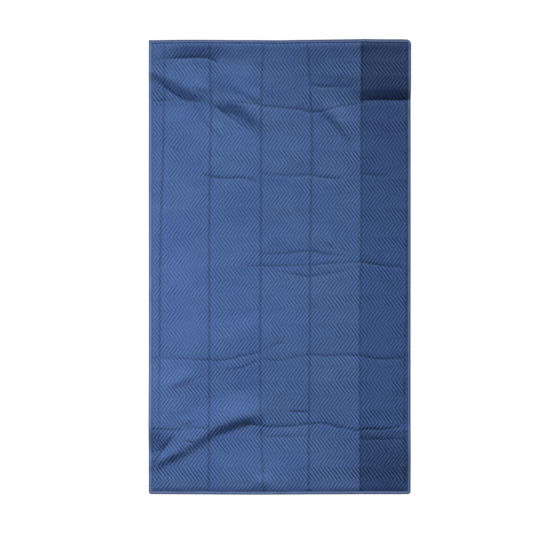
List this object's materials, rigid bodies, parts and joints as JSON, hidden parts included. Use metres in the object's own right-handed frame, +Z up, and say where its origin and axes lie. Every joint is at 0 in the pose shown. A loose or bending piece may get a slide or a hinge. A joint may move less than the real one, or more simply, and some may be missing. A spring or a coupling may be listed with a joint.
{
  "type": "moving blanket",
  "caption": "Padded moving blanket laid out flat, blue, with zigzag quilting, storage creases, a few pulled folds and a sewn binding tape all round.",
  "frame": {"origin": "on the floor, at the middle of the blanket's footprint", "axes": "+Z up, out of the upper face; +Y along the length, towards the picture's top edge; +X to the picture's right"},
  "size_m": [1.038, 1.8, 0.0371],
  "materials": {
    "quilted_cloth": "matt woven polyester, quilted",
    "binding_tape": "plain woven tape"
  },
  "bodies": {
    "root": {"quilted_body": "quilted_cloth", "edge_binding": "binding_tape"}
  },
  "joints": []
}
